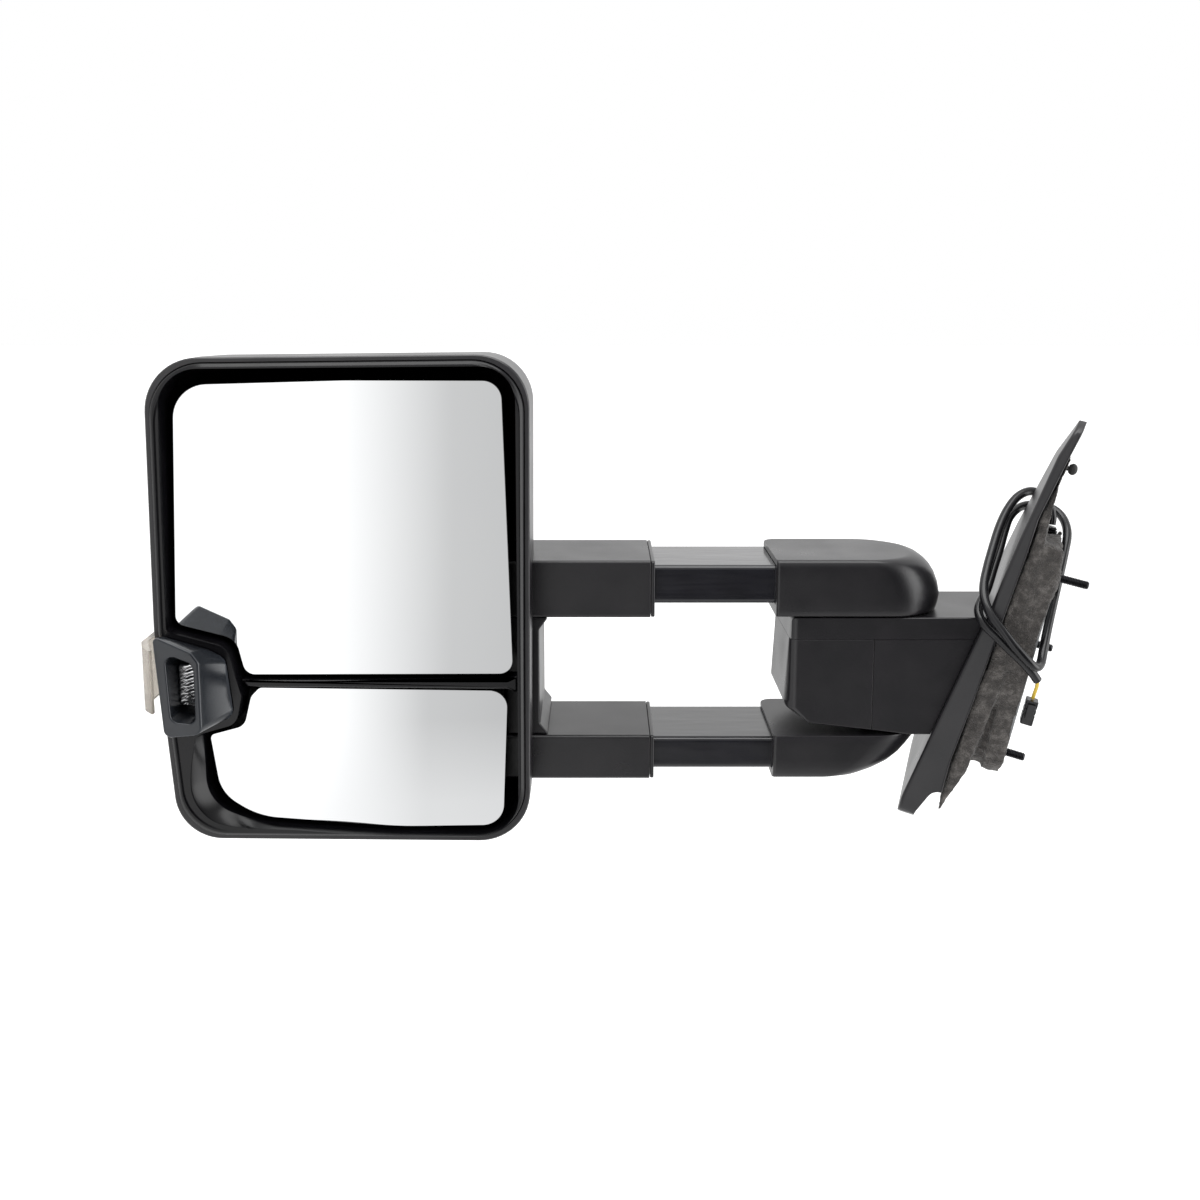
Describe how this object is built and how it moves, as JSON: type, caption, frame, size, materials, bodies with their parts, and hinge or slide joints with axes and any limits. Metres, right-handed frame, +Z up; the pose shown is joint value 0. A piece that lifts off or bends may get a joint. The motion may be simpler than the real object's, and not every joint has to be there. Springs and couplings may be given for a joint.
{
  "type": "telescoping towing mirror",
  "caption": "Telescoping towing mirror for the driver's door: a tall head with flat and wide-angle glass on two sliding arms, a fold pivot, and a tilted door base with its wiring harness.",
  "frame": {"origin": "middle of the flat pad that bolts against the truck's door", "axes": "+Z up, +X from the head towards the door, +Y towards the front of the vehicle; the glass faces -Y"},
  "size_m": [0.617, 0.2193, 0.3154],
  "materials": {
    "grained_black": "fine moulded grain, satin",
    "bezel_black": "smooth satin black",
    "inner_black": "plain moulded, matt",
    "tube_black": "gloss black coating",
    "pod_grey": "satin dark grey",
    "foam_grey": "closed-cell foam, matt",
    "cable_black": "smooth sheath",
    "lead_yellow": "insulated wire",
    "nylon": "natural nylon",
    "board_green": "lacquered circuit board",
    "heater_brown": "printed heater film",
    "cast_aluminium": "as cast",
    "black_steel": "black zinc plated",
    "bright_steel": "zinc plated",
    "chrome": "vacuum metallised",
    "mirror": "second-surface silvered glass",
    "clear_lens": "lightly smoked clear lens"
  },
  "bodies": {
    "base": {"base_cover": "grained_black", "base_frame": "cast_aluminium", "door_gasket": "foam_grey", "mount_stud_upper": "black_steel", "mount_stud_lower": "black_steel", "mount_stud_front": "black_steel", "locator_peg": "inner_black", "fold_block_cap": "grained_black", "fold_block_outboard": "grained_black", "fold_block_inboard": "grained_black", "pivot_shaft": "bright_steel", "fixed_detent_ring": "black_steel", "detent_spring": "bright_steel", "spring_washer": "bright_steel", "pivot_lock_nut": "bright_steel", "harness_grommet": "cable_black", "wiring_harness": "cable_black", "signal_lead": "lead_yellow", "harness_connector": "cable_black", "connector_latch": "cable_black"},
    "arms": {"upper_arm_cover": "grained_black", "lower_arm_cover": "grained_black", "upper_knuckle": "cast_aluminium", "lower_knuckle": "cast_aluminium", "moving_detent_ring": "black_steel", "upper_tube": "tube_black", "lower_tube": "tube_black", "upper_tube_slider": "nylon", "lower_tube_slider": "nylon"},
    "head": {"upper_sleeve": "grained_black", "lower_sleeve": "grained_black", "upper_sleeve_collar": "grained_black", "lower_sleeve_collar": "grained_black", "sleeve_bracket": "grained_black", "head_frame": "inner_black", "rear_shell": "grained_black", "bezel": "bezel_black", "divider_bar": "bezel_black", "actuator_cover": "inner_black", "actuator_housing": "inner_black", "pan_motor": "bright_steel", "tilt_motor": "bright_steel", "lower_glass_bracket": "inner_black", "light_pod_housing": "pod_grey", "light_reflector": "chrome", "reading_led_board": "board_green", "side_marker_lens": "clear_lens"},
    "upper_gimbal": {"upper_glass_gimbal": "nylon"},
    "upper_glass": {"upper_mirror_glass": "mirror", "upper_heater_pad": "heater_brown", "upper_glass_holder": "inner_black"},
    "lower_gimbal": {"lower_glass_gimbal": "nylon"},
    "lower_glass": {"lower_mirror_glass": "mirror", "lower_glass_holder": "inner_black"},
    "pan_plunger": {"pan_plunger": "nylon"},
    "tilt_plunger": {"tilt_plunger": "nylon"}
  },
  "joints": [
    {"name": "fold", "type": "hinge", "parent": "base", "child": "arms", "pos_m": [-0.126, 0, 0], "axis": [0, 0, 1], "range_deg": [-50, 60]},
    {"name": "telescope", "type": "slide", "parent": "arms", "child": "head", "axis": [1, 0, 0], "range_m": [0, 0.072]},
    {"name": "upper_pan", "type": "hinge", "parent": "head", "child": "upper_gimbal", "pos_m": [-0.478, -0.0632, 0.075], "axis": [0, 0, 1], "range_deg": [-7, 7]},
    {"name": "upper_tilt", "type": "hinge", "parent": "upper_gimbal", "child": "upper_glass", "pos_m": [-0.478, -0.0632, 0.075], "axis": [1, 0, 0], "range_deg": [-7, 7]},
    {"name": "lower_pan", "type": "hinge", "parent": "head", "child": "lower_gimbal", "pos_m": [-0.466, -0.0632, -0.09], "axis": [0, 0, 1], "range_deg": [-7, 7]},
    {"name": "lower_tilt", "type": "hinge", "parent": "lower_gimbal", "child": "lower_glass", "pos_m": [-0.466, -0.0632, -0.09], "axis": [1, 0, 0], "range_deg": [-7, 7]},
    {"name": "pan_plunger_slide", "type": "slide", "parent": "head", "child": "pan_plunger", "axis": [0, 1, 0], "range_m": [-0.004, 0.004]},
    {"name": "tilt_plunger_slide", "type": "slide", "parent": "head", "child": "tilt_plunger", "axis": [0, 1, 0], "range_m": [-0.004, 0.004]}
  ],
  "couplings": [
    {"joint": "pan_plunger_slide", "follows": "upper_pan", "m_per_rad": 0.028},
    {"joint": "tilt_plunger_slide", "follows": "upper_tilt", "m_per_rad": -0.028}
  ]
}
